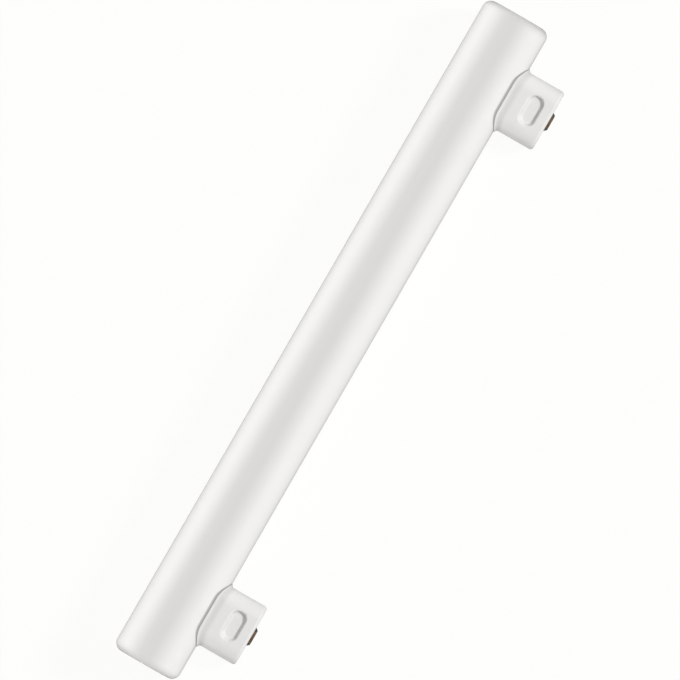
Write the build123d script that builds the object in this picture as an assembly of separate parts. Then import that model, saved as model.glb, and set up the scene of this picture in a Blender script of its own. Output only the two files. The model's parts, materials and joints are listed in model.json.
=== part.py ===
from build123d import *
import os
from math import asin, atan2, degrees, hypot

# Strip lamp: a sealed opal tube with two oblong side caps, each with a button contact on its end.
# All sizes are in millimetres. Every piece is drawn with the tube's axis on X and the caps
# pointing up, and the whole lamp is then laid on its side, as it comes to rest on a table.

# Tube
TUBE_LENGTH = 300.0
TUBE_DIAMETER = 29.0
TUBE_END_RADIUS = 3.7

# Caps, with their middles set in from the tube's ends
CAP_INSET = 31.0
CAP_LENGTH = 26.6
CAP_WIDTH = 14.0
CAP_HEIGHT = 17.1
CAP_END_WALL = 2.2
CAP_END_RADIUS = 1.3
SEAT_GAP = 0.15

# Flared rim where a cap sits on the tube
FLARE_RADIUS = 1.25
RIM_LEDGE = 0.1
RIM_THICKNESS = 0.25

# Latch pocket in both sides of a cap, with the wall that is left behind its floor
POCKET_LENGTH = 13.1
POCKET_WIDTH = 7.1
POCKET_CORNER = 3.2
POCKET_DEPTH = 1.4
POCKET_SLOPE = 46.0
POCKET_EDGE_RADIUS = 0.4
POCKET_SKIN = 1.0

# Contact: a button on the cap's end face, riveted through the end wall
CONTACT_DIAMETER = 8.3
CONTACT_FACE_DIAMETER = 6.2
CONTACT_HEIGHT = 1.2
CONTACT_EDGE_RADIUS = 0.25
STEM_DIAMETER = 3.0
STEM_CLEARANCE = 0.1
RIVET_DIAMETER = 5.0
RIVET_HEIGHT = 0.8

# Lead wire from the tube to the rivet
WIRE_DIAMETER = 0.8

# Places worked out from the sizes above
TUBE_RADIUS = TUBE_DIAMETER / 2
SEAT_RADIUS = TUBE_RADIUS + SEAT_GAP
RIM_RADIUS = SEAT_RADIUS + RIM_THICKNESS
RIM_REACH = FLARE_RADIUS + RIM_LEDGE
CAP_WALL = POCKET_DEPTH + POCKET_SKIN
CAP_END = TUBE_RADIUS + CAP_HEIGHT
CAP_INNER_END = CAP_END - CAP_END_WALL
POCKET_CENTRE = TUBE_RADIUS + CAP_HEIGHT / 2
CAP_SPACING = TUBE_LENGTH - 2 * CAP_INSET
CAP_PLACES = {"left": -CAP_SPACING / 2, "right": CAP_SPACING / 2}
WALL_MIDDLE = CAP_END - CAP_END_WALL / 2

# How far cutting shapes run past what they cut, and how near a point is to count as on a line
CUT_MARGIN = 1.0
ON_LINE = 0.01
EDGE_SAMPLES = (0.25, 0.5, 0.75)


def tube_cylinder(radius, length):
    """Solid cylinder on the tube's axis."""
    return Rot(0, 90, 0) * Cylinder(radius, length)


def oblong_block(length, width, top):
    """Upright block with half-round ends, from the tube's axis up to top."""
    return extrude(SlotOverall(length, width), top)


def on_cap_wall(point):
    """True where a point lies on the upright outer wall of a cap."""
    half_flat = (CAP_LENGTH - CAP_WIDTH) / 2
    from_middle_line = hypot(max(abs(point.X) - half_flat, 0), point.Y)
    return abs(from_middle_line - CAP_WIDTH / 2) < ON_LINE


def on_rim_surface(point):
    """True where a point lies on the outer face of the flared rim."""
    return abs(hypot(point.Y, point.Z) - RIM_RADIUS) < ON_LINE


def over_pocket(point):
    """True where a point lies within the length and width of a pocket."""
    along = abs(point.X) - POCKET_LENGTH / 2
    across = abs(point.Z - POCKET_CENTRE) - POCKET_WIDTH / 2
    return max(along, across) < ON_LINE


def on_pocket_mouth(point):
    """True where a point lies on the edge of a pocket in the cap's outer wall."""
    return over_pocket(point) and on_cap_wall(point)


def on_pocket_floor(point):
    """True where a point lies level with the floor of a pocket."""
    floor = CAP_WIDTH / 2 - POCKET_DEPTH
    return over_pocket(point) and abs(abs(point.Y) - floor) < ON_LINE


def edges_where(shape, test):
    """Edges whose middle and quarter points all pass a test."""
    return shape.edges().filter_by(lambda edge: all(test(edge @ u) for u in EDGE_SAMPLES))


def make_envelope():
    """Closed tube with flat ends and rounded end edges. It is sealed and opaque, so it is one solid."""
    tube = tube_cylinder(TUBE_RADIUS, TUBE_LENGTH)
    end_edges = tube.edges().filter_by(GeomType.CIRCLE)
    return fillet(end_edges, TUBE_END_RADIUS)


def make_pocket(side):
    """Latch pocket with sloped walls, cut inwards from one long side of a cap."""
    face = Plane(
        origin=(0, side * CAP_WIDTH / 2, POCKET_CENTRE),
        x_dir=(1, 0, 0),
        z_dir=(0, -side, 0),
    )
    outline = face * RectangleRounded(POCKET_LENGTH, POCKET_WIDTH, POCKET_CORNER)
    return extrude(outline, POCKET_DEPTH, taper=POCKET_SLOPE)


def make_cap():
    """Moulded hollow cap that sits astride the tube, with its rim, pockets and contact hole."""
    body = oblong_block(CAP_LENGTH, CAP_WIDTH, CAP_END)
    rim_length = CAP_LENGTH + 2 * RIM_REACH
    rim_block = oblong_block(rim_length, CAP_WIDTH + 2 * RIM_REACH, CAP_END)
    rim = rim_block & tube_cylinder(RIM_RADIUS, rim_length + CUT_MARGIN)
    cap = body + rim - tube_cylinder(SEAT_RADIUS, rim_length + CUT_MARGIN)
    cap = fillet(edges_where(cap, lambda p: on_cap_wall(p) and on_rim_surface(p)), FLARE_RADIUS)
    cap = fillet(cap.edges().group_by(Axis.Z)[-1], CAP_END_RADIUS)
    for side in (-1, 1):
        cap -= make_pocket(side)
    for on_edge in (on_pocket_mouth, on_pocket_floor):
        cap = fillet(edges_where(cap, on_edge), POCKET_EDGE_RADIUS)
    hollow = oblong_block(CAP_LENGTH - 2 * CAP_WALL, CAP_WIDTH - 2 * CAP_WALL, CAP_INNER_END)
    hole_radius = STEM_DIAMETER / 2 + STEM_CLEARANCE
    stem_hole = Pos(0, 0, WALL_MIDDLE) * Cylinder(hole_radius, CAP_END_WALL + CUT_MARGIN)
    return cap - hollow - stem_hole


def make_contact():
    """Button contact with a sloped edge, a stem through the cap's end wall and a closed rivet head."""
    slope = Pos(0, 0, CAP_END + CONTACT_HEIGHT / 2) * Cone(
        CONTACT_DIAMETER / 2, CONTACT_FACE_DIAMETER / 2, CONTACT_HEIGHT
    )
    button = fillet(slope.edges().group_by(Axis.Z)[-1], CONTACT_EDGE_RADIUS)
    stem = Pos(0, 0, WALL_MIDDLE) * Cylinder(STEM_DIAMETER / 2, CAP_END_WALL)
    rivet = Pos(0, 0, CAP_INNER_END - RIVET_HEIGHT / 2) * Cylinder(RIVET_DIAMETER / 2, RIVET_HEIGHT)
    return button + stem + rivet


def make_lead_wire():
    """Straight wire inside a cap, from the tube's surface to the rivet head."""
    bottom = SEAT_RADIUS
    top = CAP_INNER_END - RIVET_HEIGHT
    return Pos(0, 0, (bottom + top) / 2) * Cylinder(WIRE_DIAMETER / 2, top - bottom)


def lying_tilt():
    """Angle that the caps dip below level when the tube and the caps' lower edges share a surface."""
    out = CAP_END - CAP_END_RADIUS
    down = CAP_WIDTH / 2 - CAP_END_RADIUS
    drop = TUBE_RADIUS - CAP_END_RADIUS
    return degrees(asin(drop / hypot(out, down)) - atan2(down, out))


def make_lamp():
    """Every piece by its name, drawn with the caps pointing up."""
    pieces = {"envelope": make_envelope()}
    makers = {"cap": make_cap, "contact": make_contact, "lead_wire": make_lead_wire}
    for name, make in makers.items():
        piece = make()
        for end, place in CAP_PLACES.items():
            pieces[f"{name}_{end}"] = Pos(place, 0, 0) * piece
    return pieces


def lay_down(pieces):
    """Turn the lamp onto its side, with its box centred on the origin and its lowest line at z = 0."""
    turned = {name: Rot(90 + lying_tilt(), 0, 0) * piece for name, piece in pieces.items()}
    box = Compound(list(turned.values())).bounding_box()
    middle = box.center()
    return {name: Pos(-middle.X, -middle.Y, TUBE_RADIUS) * piece for name, piece in turned.items()}


os.makedirs("parts", exist_ok=True)
for name, piece in lay_down(make_lamp()).items():
    export_step(piece, f"parts/{name}.step")
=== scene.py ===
"""Looks of a strip lamp: an opal tube with moulded caps and brass contacts, on a pale studio floor."""

import json
from math import cos, pi, radians, sin, sqrt
from typing import NamedTuple

import bmesh
import bpy
from bpy.props import FloatProperty, FloatVectorProperty, PointerProperty
from mathutils import Matrix, Vector


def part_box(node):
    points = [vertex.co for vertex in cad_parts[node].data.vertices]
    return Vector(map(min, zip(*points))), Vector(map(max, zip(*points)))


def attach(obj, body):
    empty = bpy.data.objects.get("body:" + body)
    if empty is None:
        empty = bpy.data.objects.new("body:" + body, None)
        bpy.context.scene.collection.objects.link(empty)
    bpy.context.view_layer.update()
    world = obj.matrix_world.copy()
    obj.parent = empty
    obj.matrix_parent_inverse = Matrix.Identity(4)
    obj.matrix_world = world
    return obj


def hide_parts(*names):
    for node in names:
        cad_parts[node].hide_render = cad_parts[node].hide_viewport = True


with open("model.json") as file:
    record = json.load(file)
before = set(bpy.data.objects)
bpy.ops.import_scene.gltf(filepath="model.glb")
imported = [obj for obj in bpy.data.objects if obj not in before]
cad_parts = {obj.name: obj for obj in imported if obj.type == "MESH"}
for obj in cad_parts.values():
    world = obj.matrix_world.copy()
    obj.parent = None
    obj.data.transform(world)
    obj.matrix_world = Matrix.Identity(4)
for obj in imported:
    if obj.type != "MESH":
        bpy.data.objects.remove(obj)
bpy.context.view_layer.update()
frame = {"nodes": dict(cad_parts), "record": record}

bl_info = {
    "name": "Strip lamp",
    "version": (1, 0, 0),
    "blender": (4, 5, 0),
    "location": "View3D > Sidebar > Strip lamp",
    "description": "Builds an opal strip lamp with its side caps, contacts and studio stage",
    "category": "Add Mesh",
}

# The lamp's place and main sizes, read from the frame
ENDS = ("left", "right")
BODY = "root"
TUBE_PIECE = "opal_tube"
MM = 0.001
TUBE_LOW, TUBE_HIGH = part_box("envelope")
TUBE_CENTRE = (TUBE_LOW + TUBE_HIGH) / 2
TUBE_RADIUS = (TUBE_HIGH.z - TUBE_LOW.z) / 2
MOUNTS = {mount["name"]: mount for mount in frame["record"]["mounts"]}
TUBE_WAY = Vector((1, 0, 0))
CAP_WAY = Vector(MOUNTS["cap_left_plug"]["axis"]).normalized()
FACE_WAY = CAP_WAY.cross(TUBE_WAY)


def reach(mount_name):
    """Distance of a mount from the tube's axis, along the caps."""
    return (Vector(MOUNTS[mount_name]["pos_m"]) - TUBE_CENTRE).dot(CAP_WAY)


CAP_END = reach("cap_left_plug")
CONTACT_END = reach("contact_left_face")
CAP_OFFSET = MOUNTS["cap_right_plug"]["pos_m"][0]

# Pieces are drawn with the tube's axis on X and the caps pointing up, then laid down by this matrix
LAID = Matrix.Translation(TUBE_CENTRE) @ Matrix((TUBE_WAY, FACE_WAY, CAP_WAY)).transposed().to_4x4()

# Mesh fineness
TUBE_STEPS = 192
TUBE_EDGE_STEPS = 20
ROUND_STEPS = 44
FLAT_CUTS = 84
FLARE_STEPS = 10
WALL_STEPS = 104
END_STEPS = 10
SEAT_STEPS = 6
CONTACT_STEPS = 96
CONTACT_EDGE_STEPS = 5
SMOOTH_ANGLE = radians(32)
MERGE_DISTANCE = 1e-7
LEVEL_TOLERANCE = 1e-6


class Noise(NamedTuple):
    """Settings of a noise pattern on a piece's own coordinates."""

    scale: float = 1.0
    detail: float = 2.0
    distortion: float = 0.0
    stretch: tuple = (1, 1, 1)


# Patterns of the finishes, in cells for each metre
GLASS_STREAKS = Noise(detail=3.0, stretch=(6, 160, 160))
GLASS_GRAIN = Noise(scale=1400.0)
PLASTIC_FLOW = Noise(scale=170.0, detail=4.0, distortion=0.6)
PLASTIC_GRAIN = Noise(scale=3200.0)
BRASS_PATCHES = Noise(scale=620.0, detail=5.0, distortion=0.4)
BRASS_RUBBING = Noise(scale=5200.0, detail=3.0)
WIRE_LINES = Noise(stretch=(9000, 300, 300))

# What the grain of each finish does: the spread of its roughness and the strength of its relief
GLASS_SPREAD, GLASS_RELIEF = 0.06, 0.15
PLASTIC_SPREAD, PLASTIC_RELIEF = 0.08, 0.2
BRASS_SPREAD, BRASS_RELIEF = 0.1, 0.3
GRAIN_HEIGHT = 0.02 * MM
TINT_STOPS = (0.35, 0.65)

# Fixed values of the finishes
SKIN_IOR = 1.02
PLASTIC_SPECULAR = 0.3
# Share of the painted crease shade that is left on the rim itself
CREASE_SHADE_AT_RIM = 0.2
# Where the painted dark reflection on a button's sloped edge starts and is full, as shares of its face
# radius
DARK_REFLECTION_START, DARK_REFLECTION_FULL = 0.65, 1.05
WIRE_DARK, WIRE_LIGHT = (0.42, 0.42, 0.41), (0.62, 0.62, 0.6)
WIRE_ROUGHNESS = 0.35
STAGE_WHITE = (1, 1, 0.985, 1)

# Sockets of the colour mix, whose names are used more than once on its node
MIX_FACTOR, MIX_PLAIN, MIX_SHADED, MIX_RESULT = 0, 6, 7, 2


class Softbox(NamedTuple):
    """Place of a light round the lamp, by two angles in degrees and a distance, and its two sides."""

    bearing: float
    height: float
    distance: float
    length: float
    width: float


# The strips light the tube, the key and the end fill light the caps, the contacts and the floor
SOFTBOXES = {
    "left_strip": Softbox(bearing=180, height=4, distance=0.9, length=2.4, width=0.16),
    "high_strip": Softbox(bearing=180, height=40, distance=0.9, length=2.4, width=0.16),
    "right_strip": Softbox(bearing=0, height=18, distance=0.9, length=2.4, width=0.16),
    "key": Softbox(bearing=42, height=45, distance=9.0, length=1.5, width=1.5),
    "end_fill": Softbox(bearing=-82, height=3.5, distance=3.0, length=0.2, width=0.1),
}
TUBE_LIGHTS = ("left_strip", "high_strip", "right_strip")


def size(name, description, default):
    """A length that a user may change."""
    return FloatProperty(
        name=name, description=description, default=default, min=0.0,
        precision=5, unit="LENGTH", subtype="DISTANCE",
    )


def share(name, description, default):
    """A factor from 0 to 1 that a user may change."""
    return FloatProperty(
        name=name, description=description, default=default, min=0.0, max=1.0, subtype="FACTOR",
    )


def watts(name, description, default):
    """The power of a light, which a user may change."""
    return FloatProperty(name=name, description=description, default=default, min=0.0, unit="POWER")


def colour(name, description, default):
    """A colour that a user may change."""
    return FloatVectorProperty(
        name=name, description=description, default=default, size=3, min=0.0, max=1.0, subtype="COLOR",
    )


class StripLampTube(bpy.types.PropertyGroup):
    """Sizes and finish of the opal tube"""

    length: size("Length", "Overall length of the tube", TUBE_HIGH.x - TUBE_LOW.x)
    radius: size("Radius", "Outer radius of the tube", TUBE_RADIUS)
    end_radius: size("End rounding", "Radius of the edge round each flat end", 3.7 * MM)
    tint: colour("Opal white", "Colour of the opal glass", (0.925, 0.917, 0.9))
    dense_tint: colour("Dense streaks", "Colour of the faint denser streaks", (0.91, 0.902, 0.885))
    skin_tint: colour("Skin", "Colour of the thin clear skin over the opal glass", (0.86, 0.86, 0.86))
    # Painted shadow: a darker line on the glass round each cap's rim, where the rim shades the tube
    rim_shadow_tint: colour("Joint", "Colour of the glass where a cap's rim shades it", (0.45, 0.448, 0.441))
    rim_shadow_spread: share("Joint spread", "Share by which the shade is wider than the rim", 0.153)
    rim_shadow_fade: size("Joint fade", "Half of the width over which the shade fades out", 0.4 * MM)
    roughness: share("Roughness", "Roughness of the satin surface", 0.5)


class StripLampCap(bpy.types.PropertyGroup):
    """Sizes and finish of the moulded caps"""

    length: size("Length", "Length of a cap along the tube", 26.6 * MM)
    width: size("Width", "Width of a cap across the tube", 14.0 * MM)
    end: size("End", "Distance of a cap's end face from the tube's axis", CAP_END)
    end_radius: size("End rounding", "Radius of the edge round a cap's end face", 1.3 * MM)
    end_wall: size("End wall", "Thickness of a cap's end wall", 2.2 * MM)
    wall: size("Side wall", "Thickness of a cap's side wall", 2.4 * MM)
    seat_gap: size("Seat gap", "Gap between the tube and a cap's saddle", 0.15 * MM)
    rim: size("Rim", "Thickness of the rim's edge", 0.25 * MM)
    rim_ledge: size("Rim ledge", "Width of the rim beyond the flare on the long sides", 0.5 * MM)
    flare: size("Flare", "Radius of the flare above the rim", 1.15 * MM)
    stem_hole: size("Stem hole", "Radius of the hole for the contact's stem", 1.6 * MM)
    pocket_length: size("Pocket length", "Length of a latch pocket at its mouth", 13.8 * MM)
    pocket_width: size("Pocket width", "Width of a latch pocket at its mouth", 7.6 * MM)
    pocket_corner: size("Pocket corner", "Corner radius of a latch pocket at its mouth", 3.5 * MM)
    pocket_depth: size("Pocket depth", "Depth of a latch pocket", 1.75 * MM)
    pocket_slope: size("Pocket slope", "Mean width of a latch pocket's sloped wall", 1.6 * MM)
    pocket_lean: share("Pocket lean", "Share by which the wall is steeper to the end and right", 0.35)
    pocket_shift: size("Pocket shift", "Shift of a latch pocket to the end and right", 0.22 * MM)
    tint: colour("Moulded white", "Colour of the moulded plastic", (0.9, 0.893, 0.885))
    shade_tint: colour("Flow shade", "Colour of the faint flow marks", (0.885, 0.878, 0.87))
    skin_tint: colour("Skin", "Colour of the thin clear skin on the plastic", (0.93, 0.93, 0.93))
    # Painted shade: the crease above the rim is greyed where the tube shades the cap
    crease_shade_tint: colour("Crease", "Colour of the crease above the rim", (0.71, 0.705, 0.698))
    crease_shade_height: size("Crease height", "Height over which the crease fades out", 3.0 * MM)
    roughness: share("Roughness", "Roughness of the moulded surface", 0.5)


class StripLampContact(bpy.types.PropertyGroup):
    """Sizes and finish of the button contacts"""

    radius: size("Radius", "Radius of the button where it meets the cap", 4.2 * MM)
    face_radius: size("Face radius", "Radius of the button's outer face", 3.3 * MM)
    end: size("End", "Distance of the button's outer face from the tube's axis", CONTACT_END)
    edge_radius: size("Edge rounding", "Radius of the edge round the outer face", 0.4 * MM)
    stem: size("Stem radius", "Radius of the stem through the cap's end wall", 1.5 * MM)
    rivet_radius: size("Rivet radius", "Radius of the rivet head inside the cap", 2.5 * MM)
    rivet_height: size("Rivet height", "Height of the rivet head inside the cap", 0.8 * MM)
    tint: colour("Brass", "Colour of the rubbed brass", (0.205, 0.138, 0.078))
    brown_tint: colour("Browned brass", "Colour of the browned brass", (0.095, 0.065, 0.04))
    # Painted dark reflection on the buttons' sloped edges, standing in for dark surroundings mirrored
    # in the brass
    dark_reflection_tint: colour("Blackened sides", "Colour of the blackened brass", (0.025, 0.023, 0.021))
    roughness: share("Roughness", "Roughness of the worn brass", 0.42)


class StripLampStage(bpy.types.PropertyGroup):
    """Camera, floor and lights"""

    lens: FloatProperty(
        name="Lens", description="Focal length, long enough to keep the tube's sides parallel",
        default=1500.0, min=1.0, unit="CAMERA",
    )
    picture_width: size("Picture width", "Width of the picture at the tube's axis", 0.2723)
    shift_right: size("Aim right", "Distance of the aim to the right of the tube's middle", 3.405 * MM)
    shift_down: size("Aim down", "Distance of the aim below the tube's middle", 0.104 * MM)
    lean: FloatProperty(
        name="Lean", description="Angle of the tube from upright in the picture",
        default=radians(30), unit="ROTATION", subtype="ANGLE",
    )
    floor_size: size("Floor size", "Side of the floor", 12.0)
    floor_bounce: share("Floor bounce", "Share of light that the floor sends back", 0.55)
    shadow_share: share("Shadow share", "Share of the floor's white that shadows take away", 0.06)
    ambient: FloatProperty(
        name="Ambient", description="Strength of the even light all round", default=0.44, min=0.0,
    )
    left_strip_power: watts("Left strip", "Power of the low strip on the tube's plain side", 9.6)
    high_strip_power: watts("High strip", "Power of the high strip on the tube's plain side", 3.8)
    right_strip_power: watts("Right strip", "Power of the low strip on the tube's cap side", 12.8)
    key_power: watts("Key", "Power of the caps' main light, from the right", 514.0)
    end_fill_power: watts("End fill", "Power of the caps' low light from the left end", 22.0)


def scene_settings():
    """The four groups of settings on the scene."""
    scene = bpy.context.scene
    return scene.strip_tube, scene.strip_cap, scene.strip_contact, scene.strip_stage


def add_node(tree, kind, options=None, inputs=None):
    """Add a shader node, with its options and the values of its sockets."""
    node = tree.nodes.new(kind)
    for key, value in (options or {}).items():
        setattr(node, key, value)
    for key, value in (inputs or {}).items():
        node.inputs[key].default_value = value
    return node


def new_material(name):
    """A material with a plain principled shader, with its tree and that shader."""
    material = bpy.data.materials.new(name)
    material.use_nodes = True
    tree = material.node_tree
    return material, tree, tree.nodes["Principled BSDF"]


def add_pattern(tree, noise):
    """A noise pattern on the piece's own coordinates, stretched along each axis."""
    place = add_node(tree, "ShaderNodeTexCoord")
    mapping = add_node(tree, "ShaderNodeMapping", inputs={"Scale": noise.stretch})
    pattern = add_node(
        tree, "ShaderNodeTexNoise",
        inputs={"Scale": noise.scale, "Detail": noise.detail, "Distortion": noise.distortion},
    )
    tree.links.new(place.outputs["Object"], mapping.inputs["Vector"])
    tree.links.new(mapping.outputs["Vector"], pattern.inputs["Vector"])
    return pattern


def two_tints(tree, pattern, low, high):
    """A ramp between two colours over a pattern."""
    ramp = add_node(tree, "ShaderNodeValToRGB")
    for stop, place, tint in zip(ramp.color_ramp.elements, TINT_STOPS, (low, high)):
        stop.position = place
        stop.color = (*tint, 1)
    tree.links.new(pattern.outputs["Fac"], ramp.inputs["Fac"])
    return ramp.outputs["Color"]


def vary_roughness(tree, shader, pattern, roughness, spread):
    """Roughness that follows a pattern, up and down by a spread."""
    span = add_node(
        tree, "ShaderNodeMapRange", inputs={"To Min": roughness - spread, "To Max": roughness + spread},
    )
    tree.links.new(pattern.outputs["Fac"], span.inputs["Value"])
    tree.links.new(span.outputs["Result"], shader.inputs["Roughness"])


def add_bump(tree, shader, pattern, strength):
    """Fine relief from a pattern."""
    bump = add_node(tree, "ShaderNodeBump", inputs={"Strength": strength, "Distance": GRAIN_HEIGHT})
    tree.links.new(pattern.outputs["Fac"], bump.inputs["Height"])
    tree.links.new(bump.outputs["Normal"], shader.inputs["Normal"])


def add_skin(shader, finish):
    """Thin clear skin that greys the colour under it where the surface turns away."""
    shader.inputs["Coat Weight"].default_value = 1.0
    shader.inputs["Coat IOR"].default_value = SKIN_IOR
    shader.inputs["Coat Roughness"].default_value = finish.roughness
    shader.inputs["Coat Tint"].default_value = (*finish.skin_tint, 1)


def add_math(tree, operation, *operands):
    """Arithmetic on numbers and on outputs of other nodes."""
    node = add_node(tree, "ShaderNodeMath", {"operation": operation})
    for socket, operand in zip(node.inputs, operands):
        if isinstance(operand, bpy.types.NodeSocket):
            tree.links.new(operand, socket)
        else:
            socket.default_value = operand
    return node.outputs[0]


def upright_place(tree):
    """The piece's own coordinates, turned so that the tube's axis is on X and the caps point up."""
    place = add_node(tree, "ShaderNodeTexCoord")
    upright = add_node(
        tree, "ShaderNodeMapping", {"vector_type": "TEXTURE"},
        {"Location": TUBE_CENTRE, "Rotation": LAID.to_euler()},
    )
    split = add_node(tree, "ShaderNodeSeparateXYZ")
    tree.links.new(place.outputs["Object"], upright.inputs["Vector"])
    tree.links.new(upright.outputs["Vector"], split.inputs[0])
    return split.outputs


def from_cap_middle(tree, place):
    """Distance along the tube from the middle of the nearer cap."""
    past_middle = add_math(tree, "SUBTRACT", add_math(tree, "ABSOLUTE", place["X"]), CAP_OFFSET)
    return add_math(tree, "ABSOLUTE", past_middle)


def flat_length(tree, first, second):
    """Length of a line, from its two parts at right angles."""
    plan = add_node(tree, "ShaderNodeCombineXYZ")
    tree.links.new(first, plan.inputs["X"])
    tree.links.new(second, plan.inputs["Y"])
    line = add_node(tree, "ShaderNodeVectorMath", {"operation": "LENGTH"})
    tree.links.new(plan.outputs[0], line.inputs[0])
    return line.outputs["Value"]


def soft_range(tree, value, start, end, low, high):
    """A number that goes softly from low to high while a value goes from start to end."""
    span = add_node(
        tree, "ShaderNodeMapRange", {"interpolation_type": "SMOOTHSTEP"},
        {"From Min": start, "From Max": end, "To Min": low, "To Max": high},
    )
    tree.links.new(value, span.inputs["Value"])
    return span.outputs["Result"]


def mix_tints(tree, factor, plain, shaded):
    """The plain colour, and the shaded one where the factor is 1."""
    mix = add_node(tree, "ShaderNodeMix", {"data_type": "RGBA"})
    tree.links.new(factor, mix.inputs[MIX_FACTOR])
    tree.links.new(plain, mix.inputs[MIX_PLAIN])
    mix.inputs[MIX_SHADED].default_value = (*shaded, 1)
    return mix.outputs[MIX_RESULT]


def rim_shadow_line(tree, tube, cap):
    """Mask of the painted shadow line: 1 on the glass under the rim of a cap and just beside it,
    falling softly to 0 away from it.
    """
    place = upright_place(tree)
    half_flat = (cap.length - cap.width) / 2
    past_flat = add_math(tree, "SUBTRACT", from_cap_middle(tree, place), half_flat)
    along = add_math(tree, "MAXIMUM", past_flat, 0.0)
    across = add_math(tree, "MULTIPLY", place["Y"], 1 - tube.rim_shadow_spread)
    edge = cap.width / 2 + cap.flare
    away = flat_length(tree, along, across)
    fade = soft_range(tree, away, edge - tube.rim_shadow_fade, edge + tube.rim_shadow_fade, 1.0, 0.0)
    cap_side = add_math(tree, "GREATER_THAN", place["Z"], 0.0)
    return add_math(tree, "MULTIPLY", fade, cap_side)


def rim_crease_shade(tree, tube, cap):
    """Mask of the painted shade in a cap's crease: 1 above its rim, falling softly to 0 further up and
    low at the rim.
    """
    place = upright_place(tree)
    rim_top = tube.radius + cap.seat_gap + cap.rim
    from_axis = flat_length(tree, place["Y"], place["Z"])
    low = soft_range(tree, from_axis, rim_top, rim_top + cap.rim, CREASE_SHADE_AT_RIM, 1.0)
    high = soft_range(tree, from_axis, rim_top + cap.rim, rim_top + cap.crease_shade_height, 1.0, 0.0)
    return add_math(tree, "MULTIPLY", low, high)


def dark_reflection_sides(tree, contact):
    """Mask of the painted dark reflection: 1 on a button's sloped edge towards both ends of the lamp,
    falling softly to 0 elsewhere.
    """
    place = upright_place(tree)
    start, full = contact.face_radius * DARK_REFLECTION_START, contact.face_radius * DARK_REFLECTION_FULL
    sides = soft_range(tree, from_cap_middle(tree, place), start, full, 0.0, 1.0)
    sloped = soft_range(tree, place["Z"], contact.end - contact.edge_radius / 2, contact.end, 1.0, 0.0)
    return add_math(tree, "MULTIPLY", sides, sloped)


def opal_glass(tube, cap):
    """Satin opal glass with faint streaks along its length and a painted shadow line round the caps'
    rims.
    """
    material, tree, shader = new_material("satin_opal")
    streaks = add_pattern(tree, GLASS_STREAKS)
    grain = add_pattern(tree, GLASS_GRAIN)
    glass = two_tints(tree, streaks, tube.dense_tint, tube.tint)
    # The painted shadow line round each cap's rim darkens the glass colour
    tinted = mix_tints(tree, rim_shadow_line(tree, tube, cap), glass, tube.rim_shadow_tint)
    tree.links.new(tinted, shader.inputs["Base Color"])
    vary_roughness(tree, shader, grain, tube.roughness, GLASS_SPREAD)
    add_skin(shader, tube)
    add_bump(tree, shader, grain, GLASS_RELIEF)
    return material


def moulded_white(tube, cap):
    """White moulded plastic with a fine grain and faint flow marks, and a painted shade in the rim's
    crease.
    """
    material, tree, shader = new_material("moulded_plastic")
    flow = add_pattern(tree, PLASTIC_FLOW)
    grain = add_pattern(tree, PLASTIC_GRAIN)
    plastic = two_tints(tree, flow, cap.shade_tint, cap.tint)
    # The painted crease shade greys the plastic above the rim
    tinted = mix_tints(tree, rim_crease_shade(tree, tube, cap), plastic, cap.crease_shade_tint)
    tree.links.new(tinted, shader.inputs["Base Color"])
    vary_roughness(tree, shader, grain, cap.roughness, PLASTIC_SPREAD)
    shader.inputs["Specular IOR Level"].default_value = PLASTIC_SPECULAR
    add_skin(shader, cap)
    add_bump(tree, shader, grain, PLASTIC_RELIEF)
    return material


def worn_brass(contact):
    """Dull brass, browned in patches, with a painted dark reflection on the sloped edge towards both
    ends of the lamp.
    """
    material, tree, shader = new_material("worn_brass")
    patches = add_pattern(tree, BRASS_PATCHES)
    rubbing = add_pattern(tree, BRASS_RUBBING)
    brass = two_tints(tree, patches, contact.brown_tint, contact.tint)
    # The painted dark reflection darkens the brass on the sloped edge
    tinted = mix_tints(tree, dark_reflection_sides(tree, contact), brass, contact.dark_reflection_tint)
    tree.links.new(tinted, shader.inputs["Base Color"])
    vary_roughness(tree, shader, rubbing, contact.roughness, BRASS_SPREAD)
    shader.inputs["Metallic"].default_value = 1.0
    add_bump(tree, shader, rubbing, BRASS_RELIEF)
    return material


def drawn_wire():
    """Grey drawn wire."""
    material, tree, shader = new_material("drawn_nickel")
    lines = add_pattern(tree, WIRE_LINES)
    tree.links.new(two_tints(tree, lines, WIRE_DARK, WIRE_LIGHT), shader.inputs["Base Color"])
    shader.inputs["Metallic"].default_value = 1.0
    shader.inputs["Roughness"].default_value = WIRE_ROUGHNESS
    return material


def ordered_mesh(bm, name):
    """Mesh of a drawn piece, sorted by place so that points and faces have the same order each run."""
    verts = sorted(bm.verts, key=lambda vert: tuple(vert.co))
    ranks = {vert: rank for rank, vert in enumerate(verts)}
    faces = sorted(([ranks[vert] for vert in face.verts] for face in bm.faces), key=sorted)
    mesh = bpy.data.meshes.new(name)
    mesh.from_pydata([vert.co for vert in verts], [], faces)
    return mesh


def finish_piece(bm, name, node, material):
    """Turn a drawn mesh into a laid-down piece that stands for a node of the frame."""
    bmesh.ops.remove_doubles(bm, verts=bm.verts, dist=MERGE_DISTANCE)
    bmesh.ops.recalc_face_normals(bm, faces=bm.faces)
    bmesh.ops.transform(bm, matrix=LAID, verts=bm.verts)
    mesh = ordered_mesh(bm, name)
    bm.free()
    mesh.shade_smooth()
    mesh.set_sharp_from_angle(angle=SMOOTH_ANGLE)
    mesh.materials.append(material)
    piece = bpy.data.objects.new(name, mesh)
    bpy.context.scene.collection.objects.link(piece)
    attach(piece, BODY)
    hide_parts(node)


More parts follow.
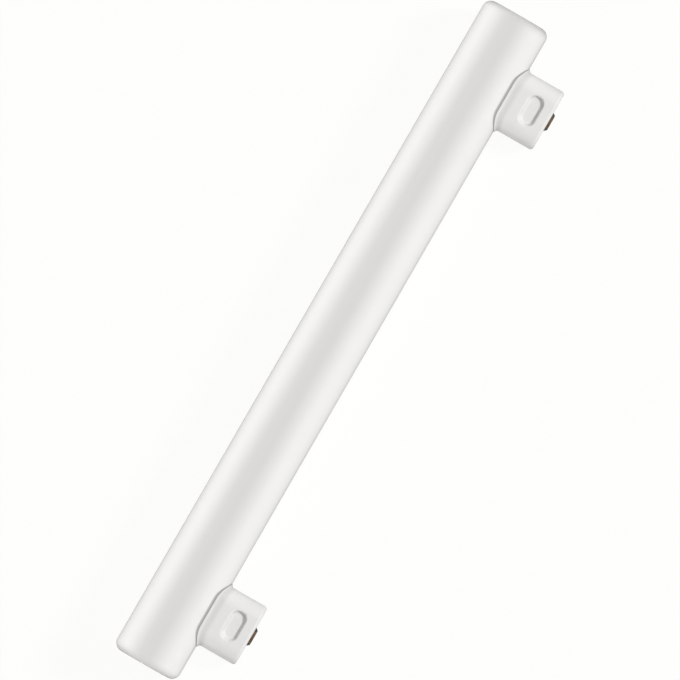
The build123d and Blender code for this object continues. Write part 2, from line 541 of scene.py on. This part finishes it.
def draw_tube(tube):
    """Closed tube along X, with the edge round each flat end rolled over."""
    bm = bmesh.new()
    bmesh.ops.create_cone(
        bm, cap_ends=True, segments=TUBE_STEPS, radius1=tube.radius, radius2=tube.radius,
        depth=tube.length, matrix=Matrix.Rotation(pi / 2, 4, "Y"),
    )
    end_edges = [edge for edge in bm.edges if edge.verts[0].co.x * edge.verts[1].co.x > 0]
    bmesh.ops.bevel(
        bm, geom=end_edges, offset=tube.end_radius, offset_type="OFFSET", affect="EDGES",
        segments=TUBE_EDGE_STEPS, profile=0.5, material=-1,
    )
    return bm


def smooth_step(value):
    """Soft rise from 0 to 1."""
    held = min(max(value, 0.0), 1.0)
    return held * held * (3 - 2 * held)


def pocket_sink(cap, along, up):
    """Depth of a latch pocket at a point of a cap's side, from the pocket's middle."""
    inside_x = abs(along) - cap.pocket_length / 2 + cap.pocket_corner
    inside_z = abs(up) - cap.pocket_width / 2 + cap.pocket_corner
    corner = Vector((max(inside_x, 0), max(inside_z, 0)))
    edge_distance = corner.length + min(max(inside_x, inside_z), 0) - cap.pocket_corner
    way = corner.normalized()
    lean = (way.x if along > 0 else -way.x) + (way.y if up > 0 else -way.y)
    slope = cap.pocket_slope * (1 - cap.pocket_lean * lean)
    return cap.pocket_depth * smooth_step(-edge_distance / slope)


def draw_outline(bm, cap):
    """Ring of edges round a cap's side wall: two spun half circles and two straight runs."""
    radius = cap.width / 2
    half_flat = cap.length / 2 - radius
    starts, lasts = [], []
    for side in (1, -1):
        middle = (side * half_flat, 0, 0)
        start = bm.verts.new((side * half_flat, -side * radius, 0))
        spun = bmesh.ops.spin(
            bm, geom=[start], cent=middle, axis=(0, 0, 1), angle=pi, steps=ROUND_STEPS,
        )
        starts.append(start)
        lasts += [part for part in spun["geom_last"] if isinstance(part, bmesh.types.BMVert)]
    runs = [bm.edges.new((lasts[0], starts[1])), bm.edges.new((lasts[1], starts[0]))]
    bmesh.ops.subdivide_edges(bm, edges=runs, cuts=FLAT_CUTS)
    outline = bm.verts.layers.float_vector.new("outline")
    for vert in bm.verts:
        vert[outline] = vert.co
    return list(bm.edges), outline


def grow_ring(bm, ring, place):
    """Extrude a ring of edges, and put each new vertex where place says."""
    grown = bmesh.ops.extrude_edge_only(bm, edges=ring)["geom"]
    fresh = [part for part in grown if isinstance(part, bmesh.types.BMVert)]
    known = set(fresh)
    for vert in fresh:
        vert.co = place(vert)
    return [
        part for part in grown
        if isinstance(part, bmesh.types.BMEdge) and known.issuperset(part.verts)
    ]


def draw_cap(cap, tube):
    """Hollow cap astride the tube: rim, flare, wall with pockets, rounded end, stem hole and inside."""
    bm = bmesh.new()
    ring, outline = draw_outline(bm, cap)
    half_flat = (cap.length - cap.width) / 2
    seat = tube.radius + cap.seat_gap
    rim_top = seat + cap.rim
    wall_top = cap.end - cap.end_radius
    inner_end = cap.end - cap.end_wall
    pocket_middle = (tube.radius + cap.end) / 2 + cap.pocket_shift

    def stand_off(vert, offset):
        """Plan point beside the wall's outline, offset outwards."""
        point = vert[outline]
        middle = Vector((min(max(point.x, -half_flat), half_flat), 0, 0))
        return point + (point - middle).normalized() * offset

    def saddle(point, radius):
        """Height of a cylinder on the tube's axis at a plan point."""
        return sqrt(radius * radius - point.y * point.y)

    def on_saddle(offset, radius, lift=0.0, ledge=0.0):
        """Placer for a ring that follows the tube, with a ledge on the long sides."""
        def place(vert):
            side = abs(vert[outline].y) / cap.width * 2
            point = stand_off(vert, offset + ledge * side ** 2)
            point.z = saddle(point, radius) + lift
            return point
        return place

    def on_wall(up):
        """Placer for a ring on the side wall, up from the flare (0) to the end rounding (1)."""
        def place(vert):
            point = stand_off(vert, 0)
            foot = saddle(point, rim_top) + cap.flare
            point.z = foot + (wall_top - foot) * up
            sink = pocket_sink(cap, point.x - cap.pocket_shift, point.z - pocket_middle)
            point.y -= sink if point.y > 0 else -sink
            return point
        return place

    def on_level(offset, height):
        """Placer for a level ring."""
        def place(vert):
            point = stand_off(vert, offset)
            point.z = height
            return point
        return place

    def on_hole(height):
        """Placer for a ring round the stem hole."""
        def place(vert):
            point = vert[outline].normalized() * cap.stem_hole
            point.z = height
            return point
        return place

    places = [on_saddle(cap.flare, rim_top, ledge=cap.rim_ledge)]
    for step in range(FLARE_STEPS):
        turn = pi / 2 * (1 - step / FLARE_STEPS)
        places.append(on_saddle(cap.flare * (1 - cos(turn)), rim_top, cap.flare * (1 - sin(turn))))
    places += [on_wall(step / WALL_STEPS) for step in range(WALL_STEPS + 1)]
    for step in range(1, END_STEPS + 1):
        turn = pi / 2 * step / END_STEPS
        places.append(on_level(cap.end_radius * (cos(turn) - 1), wall_top + cap.end_radius * sin(turn)))
    places += [on_hole(cap.end), on_hole(inner_end), on_level(-cap.wall, inner_end)]
    for step in range(SEAT_STEPS):
        share_out = step / SEAT_STEPS
        reach_out = (cap.wall + cap.flare) * share_out - cap.wall
        places.append(on_saddle(reach_out, seat, ledge=cap.rim_ledge * share_out))

    first_ring = ring
    foot = on_saddle(cap.flare, seat, ledge=cap.rim_ledge)
    for vert in bm.verts:
        vert.co = foot(vert)
    for place in places:
        ring = grow_ring(bm, ring, place)
    bmesh.ops.bridge_loops(bm, edges=first_ring + ring)
    return bm


def draw_contact(contact, cap):
    """Button with a sloped edge, its stem and its rivet head, spun round the cap's axis."""
    bm = bmesh.new()
    inner_end = cap.end - cap.end_wall
    rivet_end = inner_end - contact.rivet_height
    corners = (
        (0, contact.end),
        (contact.face_radius, contact.end),
        (contact.radius, cap.end),
        (contact.stem, cap.end),
        (contact.stem, inner_end),
        (contact.rivet_radius, inner_end),
        (contact.rivet_radius, rivet_end),
        (0, rivet_end),
    )
    line = [bm.verts.new((radius, 0, height)) for radius, height in corners]
    edges = [bm.edges.new(pair) for pair in zip(line, line[1:])]
    bmesh.ops.spin(
        bm, geom=line + edges, cent=(0, 0, 0), axis=(0, 0, 1), angle=2 * pi, steps=CONTACT_STEPS,
        use_merge=True,
    )
    bmesh.ops.remove_doubles(bm, verts=bm.verts, dist=MERGE_DISTANCE)

    def on_face_rim(vert):
        """Whether a vertex is on the rim of the outer face."""
        level = abs(vert.co.z - contact.end) < LEVEL_TOLERANCE
        return level and vert.co.xy.length > contact.face_radius / 2

    face_rim = [edge for edge in bm.edges if all(on_face_rim(vert) for vert in edge.verts)]
    bmesh.ops.bevel(
        bm, geom=face_rim, offset=contact.edge_radius, offset_type="OFFSET", affect="EDGES",
        segments=CONTACT_EDGE_STEPS, profile=0.5, material=-1,
    )
    return bm


def shift_to_end(bm, end):
    """Move a mesh drawn at the middle of the tube to the cap at one end."""
    side = -1 if end == "left" else 1
    bmesh.ops.translate(bm, vec=(side * CAP_OFFSET, 0, 0), verts=bm.verts)


class STRIPLAMP_OT_tube(bpy.types.Operator):
    """Build the opal tube"""

    bl_idname = "striplamp.tube"
    bl_label = "Opal tube"

    def execute(self, context):
        tube, cap = scene_settings()[:2]
        finish_piece(draw_tube(tube), TUBE_PIECE, "envelope", opal_glass(tube, cap))
        return {"FINISHED"}


class STRIPLAMP_OT_caps(bpy.types.Operator):
    """Build the moulded caps"""

    bl_idname = "striplamp.caps"
    bl_label = "Moulded caps"

    def execute(self, context):
        tube, cap = scene_settings()[:2]
        material = moulded_white(tube, cap)
        for end in ENDS:
            bm = draw_cap(cap, tube)
            shift_to_end(bm, end)
            finish_piece(bm, f"moulded_cap_{end}", f"cap_{end}", material)
        return {"FINISHED"}


class STRIPLAMP_OT_contacts(bpy.types.Operator):
    """Build the button contacts"""

    bl_idname = "striplamp.contacts"
    bl_label = "Button contacts"

    def execute(self, context):
        cap, contact = scene_settings()[1:3]
        material = worn_brass(contact)
        for end in ENDS:
            bm = draw_contact(contact, cap)
            shift_to_end(bm, end)
            finish_piece(bm, f"button_contact_{end}", f"contact_{end}", material)
        return {"FINISHED"}


class STRIPLAMP_OT_lead_wires(bpy.types.Operator):
    """Give the lead wires inside the caps their finish"""

    bl_idname = "striplamp.lead_wires"
    bl_label = "Lead wires"

    def execute(self, context):
        material = drawn_wire()
        for end in ENDS:
            mesh = frame["nodes"][f"lead_wire_{end}"].data
            mesh.materials.clear()
            mesh.materials.append(material)
        return {"FINISHED"}


def seen_rays(tree):
    """1 for rays by which a surface is seen, straight, mirrored or through glass, else 0."""
    path = add_node(tree, "ShaderNodeLightPath")
    seen = path.outputs["Is Camera Ray"]
    for kind in ("Is Glossy Ray", "Is Transmission Ray"):
        seen = add_math(tree, "MAXIMUM", seen, path.outputs[kind])
    return seen


def pale_floor(stage):
    """White floor that keeps the lamp's soft shadow, and sends back only part of the light."""
    material = bpy.data.materials.new("pale_floor")
    material.use_nodes = True
    tree = material.node_tree
    tree.nodes.clear()
    white = 1 - stage.shadow_share
    bounce = (stage.floor_bounce,) * 3 + (1,)
    shadow = (stage.shadow_share,) * 3 + (1,)
    glow = add_node(tree, "ShaderNodeEmission", inputs={"Color": STAGE_WHITE, "Strength": white})
    catch = add_node(tree, "ShaderNodeBsdfDiffuse", inputs={"Color": shadow})
    shown = add_node(tree, "ShaderNodeAddShader")
    lit = add_node(tree, "ShaderNodeBsdfDiffuse", inputs={"Color": bounce})
    either = add_node(tree, "ShaderNodeMixShader")
    output = add_node(tree, "ShaderNodeOutputMaterial")
    tree.links.new(glow.outputs[0], shown.inputs[0])
    tree.links.new(catch.outputs[0], shown.inputs[1])
    tree.links.new(seen_rays(tree), either.inputs[0])
    tree.links.new(lit.outputs[0], either.inputs[1])
    tree.links.new(shown.outputs[0], either.inputs[2])
    tree.links.new(either.outputs[0], output.inputs["Surface"])
    return material


def even_world(stage):
    """White to the eye, and an even light of its own strength on the lamp."""
    world = bpy.data.worlds.new("studio")
    bpy.context.scene.world = world
    world.use_nodes = True
    tree = world.node_tree
    tree.nodes.clear()
    light = add_node(
        tree, "ShaderNodeBackground", inputs={"Color": (1, 1, 1, 1), "Strength": stage.ambient},
    )
    white = add_node(tree, "ShaderNodeBackground", inputs={"Color": STAGE_WHITE, "Strength": 1.0})
    either = add_node(tree, "ShaderNodeMixShader")
    output = add_node(tree, "ShaderNodeOutputWorld")
    tree.links.new(seen_rays(tree), either.inputs[0])
    tree.links.new(light.outputs[0], either.inputs[1])
    tree.links.new(white.outputs[0], either.inputs[2])
    tree.links.new(either.outputs[0], output.inputs["Surface"])


def light_way(box):
    """Direction of a light: bearing from the cap side to the right end, height up from both."""
    bearing, height = radians(box.bearing), radians(box.height)
    flat = CAP_WAY * cos(bearing) + TUBE_WAY * sin(bearing)
    return flat * cos(height) + FACE_WAY * sin(height)


def add_softbox(name, box, power):
    """Area light that faces the middle of the tube, its long side along the tube where it can be."""
    toward = light_way(box)
    data = bpy.data.lights.new(name, "AREA")
    data.shape = "RECTANGLE"
    data.size = box.length
    data.size_y = box.width
    data.energy = power
    light = bpy.data.objects.new(name, data)
    side = TUBE_WAY - toward * TUBE_WAY.dot(toward)
    side.normalize()
    turn = Matrix((side, toward.cross(side), toward)).transposed().to_4x4()
    light.matrix_world = Matrix.Translation(TUBE_CENTRE + toward * box.distance) @ turn
    bpy.context.scene.collection.objects.link(light)
    return light


def light_only(light, pieces):
    """Let a light fall on some objects only."""
    lit = bpy.data.collections.new(f"{light.name}_lit")
    for piece in pieces:
        lit.objects.link(piece)
    light.light_linking.receiver_collection = lit


def add_camera(stage):
    """Long lens, square to the plane of the tube and caps, with the tube leaning to the right."""
    up_share, side_share = cos(stage.lean), sin(stage.lean)
    right = TUBE_WAY * side_share + CAP_WAY * up_share
    up = TUBE_WAY * up_share - CAP_WAY * side_share
    data = bpy.data.cameras.new("camera")
    data.lens = stage.lens
    distance = stage.picture_width * data.lens / data.sensor_width
    aim = TUBE_CENTRE + right * stage.shift_right - up * stage.shift_down
    camera = bpy.data.objects.new("camera", data)
    turn = Matrix((right, up, FACE_WAY)).transposed().to_4x4()
    camera.matrix_world = Matrix.Translation(aim + FACE_WAY * distance) @ turn
    bpy.context.scene.collection.objects.link(camera)
    bpy.context.scene.camera = camera


class STRIPLAMP_OT_stage(bpy.types.Operator):
    """Set up the floor, lights and camera"""

    bl_idname = "striplamp.stage"
    bl_label = "Studio stage"

    def execute(self, context):
        stage = scene_settings()[3]
        bm = bmesh.new()
        bmesh.ops.create_grid(bm, x_segments=1, y_segments=1, size=stage.floor_size / 2)
        mesh = bpy.data.meshes.new("floor")
        bm.to_mesh(mesh)
        bm.free()
        mesh.materials.append(pale_floor(stage))
        floor = bpy.data.objects.new("floor", mesh)
        context.scene.collection.objects.link(floor)
        even_world(stage)
        pieces = [piece for piece in context.scene.objects if piece.type == "MESH"]
        glass = [piece for piece in pieces if piece.name == TUBE_PIECE]
        others = [piece for piece in pieces if piece.name != TUBE_PIECE]
        for name, box in SOFTBOXES.items():
            light = add_softbox(name, box, getattr(stage, f"{name}_power"))
            light_only(light, glass if name in TUBE_LIGHTS else others)
        add_camera(stage)
        context.scene.view_settings.view_transform = "Standard"
        return {"FINISHED"}


class STRIPLAMP_PT_panel(bpy.types.Panel):
    """Settings and steps of the strip lamp"""

    bl_idname = "STRIPLAMP_PT_panel"
    bl_label = "Strip lamp"
    bl_space_type = "VIEW_3D"
    bl_region_type = "UI"
    bl_category = "Strip lamp"

    def draw(self, context):
        for operator in OPERATORS:
            self.layout.operator(operator.bl_idname)
        for group in scene_settings():
            box = self.layout.box()
            for name in group.__annotations__:
                box.prop(group, name)


GROUPS = {
    "strip_tube": StripLampTube,
    "strip_cap": StripLampCap,
    "strip_contact": StripLampContact,
    "strip_stage": StripLampStage,
}
OPERATORS = (
    STRIPLAMP_OT_tube,
    STRIPLAMP_OT_caps,
    STRIPLAMP_OT_contacts,
    STRIPLAMP_OT_lead_wires,
    STRIPLAMP_OT_stage,
)


def register():
    for group in GROUPS.values():
        bpy.utils.register_class(group)
    for operator in OPERATORS:
        bpy.utils.register_class(operator)
    bpy.utils.register_class(STRIPLAMP_PT_panel)
    for name, group in GROUPS.items():
        setattr(bpy.types.Scene, name, PointerProperty(type=group))


def unregister():
    for name in GROUPS:
        delattr(bpy.types.Scene, name)
    bpy.utils.unregister_class(STRIPLAMP_PT_panel)
    for operator in reversed(OPERATORS):
        bpy.utils.unregister_class(operator)
    for group in reversed(GROUPS.values()):
        bpy.utils.unregister_class(group)


def main():
    register()
    bpy.ops.striplamp.tube()
    bpy.ops.striplamp.caps()
    bpy.ops.striplamp.contacts()
    bpy.ops.striplamp.lead_wires()
    bpy.ops.striplamp.stage()


if __name__ == "__main__":
    main()
